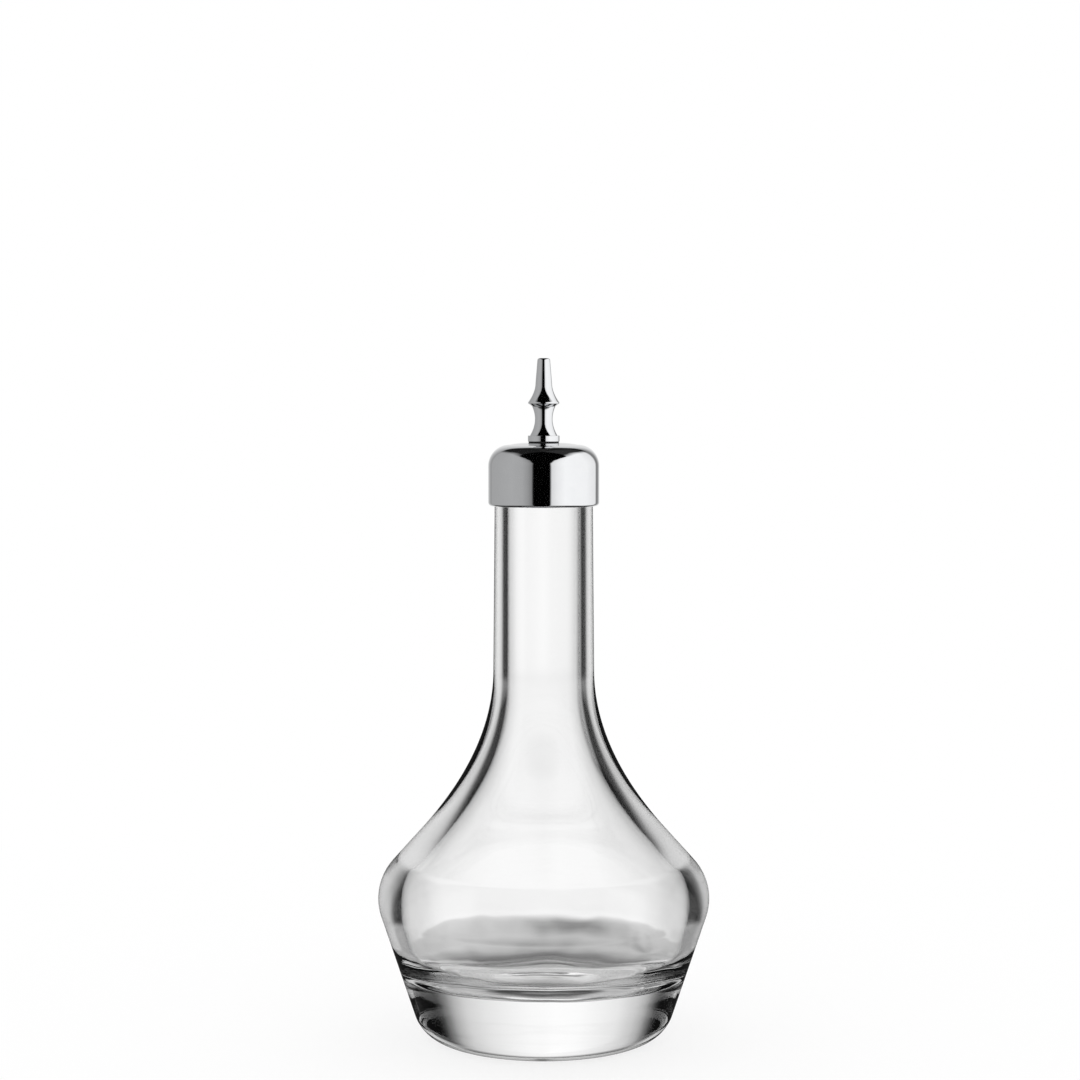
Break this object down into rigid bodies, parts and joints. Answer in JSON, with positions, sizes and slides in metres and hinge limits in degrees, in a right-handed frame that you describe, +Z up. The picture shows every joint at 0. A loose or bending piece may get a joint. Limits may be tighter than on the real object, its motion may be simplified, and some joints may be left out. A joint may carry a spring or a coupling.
{
  "type": "bitters bottle",
  "caption": "Squat clear-glass bitters bottle with a heavy tapered base and long neck, closed by a push-in chromed dasher cap with a slim turned nozzle.",
  "frame": {"origin": "middle of the base, on the plane that the bottle stands on", "axes": "+Z up along the bottle's axis; X and Y are any two level directions, because the bottle is round"},
  "size_m": [0.0754, 0.0754, 0.155],
  "materials": {
    "clear_glass": "fire-polished, clear",
    "seal_silicone": "moulded, satin",
    "stem_steel": "turned",
    "chrome_plate": "polished plate",
    "dark_rubber": "matt"
  },
  "bodies": {
    "bottle": {"glass_bottle": "clear_glass"},
    "stopper_seal": {"lip_gasket": "seal_silicone", "stopper_sleeve": "seal_silicone"},
    "dasher_top": {"stopper_stem": "stem_steel", "stop_washer": "stem_steel", "stem_nut": "stem_steel", "cap_shell": "chrome_plate", "nozzle_washer": "dark_rubber", "dasher_nozzle": "chrome_plate"}
  },
  "joints": [
    {"name": "stopper_pull", "type": "slide", "parent": "bottle", "child": "stopper_seal", "axis": [0, 0, 1], "range_m": [0, 0.03]},
    {"name": "cap_twist", "type": "hinge", "parent": "stopper_seal", "child": "dasher_top", "pos_m": [0, 0, 0.13], "axis": [0, 0, 1], "continuous": true}
  ]
}
